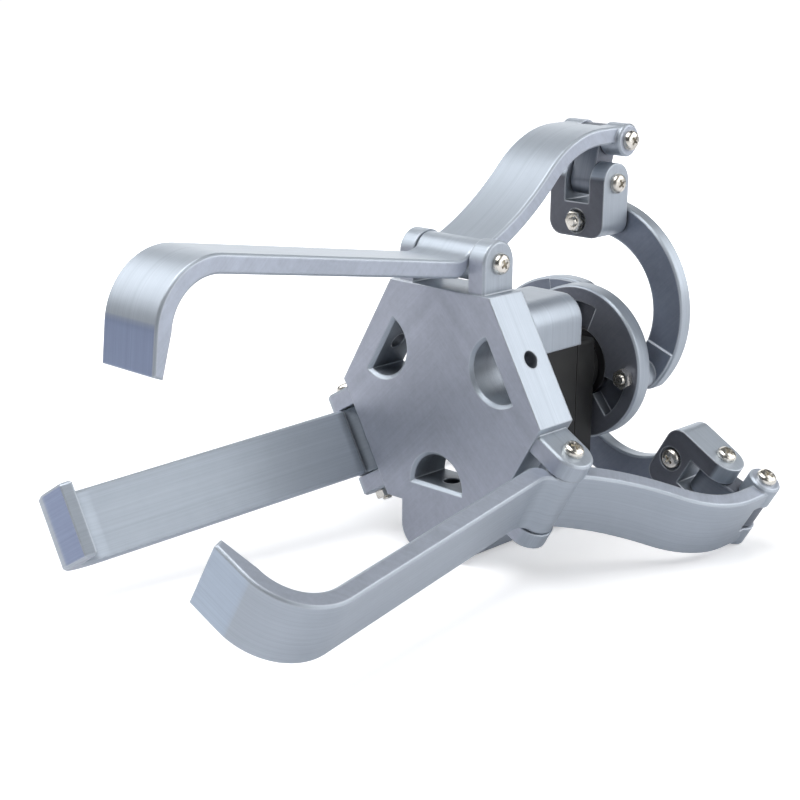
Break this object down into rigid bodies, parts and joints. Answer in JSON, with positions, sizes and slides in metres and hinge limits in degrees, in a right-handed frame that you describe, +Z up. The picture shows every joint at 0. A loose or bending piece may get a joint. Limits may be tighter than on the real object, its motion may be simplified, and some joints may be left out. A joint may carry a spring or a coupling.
{
  "type": "robot claw gripper",
  "caption": "Three-fingered robot claw gripper: hooked fingers hinge on a hexagonal palm and close together when a servo turns the rotor that drives their curved links.",
  "frame": {"origin": "centre of the mouth of the foot's round hole, on the foot's flat underside, in the middle plane of the palm", "axes": "+Y along the main axis from the fingertips to the servo's end, +Z up towards the upper finger, +X to the right seen from the fingertips"},
  "size_m": [0.1382, 0.1899, 0.1202],
  "materials": {
    "printed_grey": "satin printed plastic with faint layer lines",
    "servo_black": "fine-grained black plastic",
    "horn_plastic": "smooth black plastic",
    "nickel_steel": "bright nickel plating",
    "dark_steel": "darkened steel",
    "shaft_brass": "turned metal"
  },
  "bodies": {
    "frame": {"palm": "printed_grey", "servo_lower_cover": "servo_black", "servo_case": "servo_black", "servo_top_cover": "servo_black", "servo_case_screws": "dark_steel", "servo_flange_screws": "nickel_steel", "hub_screws": "nickel_steel", "hub_nuts": "nickel_steel"},
    "rotor": {"rotor": "printed_grey", "servo_horn": "horn_plastic", "output_shaft": "shaft_brass", "horn_screws": "nickel_steel", "horn_centre_screw": "nickel_steel", "rotor_pin_screws": "nickel_steel", "rotor_pin_nuts": "nickel_steel"},
    "finger_1": {"finger_1": "printed_grey", "rear_hinge_screw_1": "nickel_steel"},
    "short_link_1": {"short_link_1": "printed_grey"},
    "slide_block_1": {"slide_block_1": "printed_grey", "fork_screw_1": "nickel_steel", "drive_screw_1": "nickel_steel", "drive_nut_1": "nickel_steel"},
    "curved_link_1": {"curved_link_1": "printed_grey"},
    "finger_2": {"finger_2": "printed_grey", "rear_hinge_screw_2": "nickel_steel"},
    "short_link_2": {"short_link_2": "printed_grey"},
    "slide_block_2": {"slide_block_2": "printed_grey", "fork_screw_2": "nickel_steel", "drive_screw_2": "nickel_steel", "drive_nut_2": "nickel_steel"},
    "curved_link_2": {"curved_link_2": "printed_grey"},
    "finger_3": {"finger_3": "printed_grey", "rear_hinge_screw_3": "nickel_steel"},
    "short_link_3": {"short_link_3": "printed_grey"},
    "slide_block_3": {"slide_block_3": "printed_grey", "fork_screw_3": "nickel_steel", "drive_screw_3": "nickel_steel", "drive_nut_3": "nickel_steel"},
    "curved_link_3": {"curved_link_3": "printed_grey"}
  },
  "joints": [
    {"name": "rotor_turn", "type": "hinge", "parent": "frame", "child": "rotor", "pos_m": [0, 0.0594, 0.04666], "axis": [0, 1, 0], "range_deg": [-28, 20]},
    {"name": "finger_1_turn", "type": "hinge", "parent": "frame", "child": "finger_1", "pos_m": [0, 0, 0.08746], "axis": [-1, 0, 0], "range_deg": [-8.98, 6.43]},
    {"name": "short_link_1_turn", "type": "hinge", "parent": "finger_1", "child": "short_link_1", "pos_m": [0, 0.0635, 0.11526], "axis": [-1, 0, 0], "range_deg": [-11.84, 8.47]},
    {"name": "slide_block_1_turn", "type": "hinge", "parent": "short_link_1", "child": "slide_block_1", "pos_m": [0, 0.06, 0.10266], "axis": [-1, 0, 0], "range_deg": [-14.85, 20.77]},
    {"name": "curved_link_1_turn", "type": "hinge", "parent": "rotor", "child": "curved_link_1", "pos_m": [0.01893, 0.0672, 0.045], "axis": [0, 1, 0], "range_deg": [-19.87, 27.8]},
    {"name": "finger_2_turn", "type": "hinge", "parent": "frame", "child": "finger_2", "pos_m": [-0.03533, 0, 0.02626], "axis": [0.5, 0, -0.866], "range_deg": [-8.98, 6.43]},
    {"name": "short_link_2_turn", "type": "hinge", "parent": "finger_2", "child": "short_link_2", "pos_m": [-0.05941, 0.0635, 0.01236], "axis": [0.5, 0, -0.866], "range_deg": [-11.84, 8.47]},
    {"name": "slide_block_2_turn", "type": "hinge", "parent": "short_link_2", "child": "slide_block_2", "pos_m": [-0.0485, 0.06, 0.01866], "axis": [0.5, 0, -0.866], "range_deg": [-14.85, 20.77]},
    {"name": "curved_link_2_turn", "type": "hinge", "parent": "rotor", "child": "curved_link_2", "pos_m": [-0.00803, 0.0672, 0.06388], "axis": [0, 1, 0], "range_deg": [-19.87, 27.8]},
    {"name": "finger_3_turn", "type": "hinge", "parent": "frame", "child": "finger_3", "pos_m": [0.03533, 0, 0.02626], "axis": [0.5, 0, 0.866], "range_deg": [-8.98, 6.43]},
    {"name": "short_link_3_turn", "type": "hinge", "parent": "finger_3", "child": "short_link_3", "pos_m": [0.05941, 0.0635, 0.01236], "axis": [0.5, 0, 0.866], "range_deg": [-11.84, 8.47]},
    {"name": "slide_block_3_turn", "type": "hinge", "parent": "short_link_3", "child": "slide_block_3", "pos_m": [0.0485, 0.06, 0.01866], "axis": [0.5, 0, 0.866], "range_deg": [-14.85, 20.77]},
    {"name": "curved_link_3_turn", "type": "hinge", "parent": "rotor", "child": "curved_link_3", "pos_m": [-0.0109, 0.0672, 0.0311], "axis": [0, 1, 0], "range_deg": [-19.87, 27.8]}
  ],
  "couplings": [
    {"joint": "finger_1_turn", "follows": "rotor_turn", "ratio": 0.319},
    {"joint": "short_link_1_turn", "follows": "rotor_turn", "ratio": 0.421},
    {"joint": "slide_block_1_turn", "follows": "rotor_turn", "ratio": -0.74},
    {"joint": "curved_link_1_turn", "follows": "rotor_turn", "ratio": -0.991},
    {"joint": "finger_2_turn", "follows": "rotor_turn", "ratio": 0.319},
    {"joint": "short_link_2_turn", "follows": "rotor_turn", "ratio": 0.421},
    {"joint": "slide_block_2_turn", "follows": "rotor_turn", "ratio": -0.74},
    {"joint": "curved_link_2_turn", "follows": "rotor_turn", "ratio": -0.991},
    {"joint": "finger_3_turn", "follows": "rotor_turn", "ratio": 0.319},
    {"joint": "short_link_3_turn", "follows": "rotor_turn", "ratio": 0.421},
    {"joint": "slide_block_3_turn", "follows": "rotor_turn", "ratio": -0.74},
    {"joint": "curved_link_3_turn", "follows": "rotor_turn", "ratio": -0.991}
  ]
}
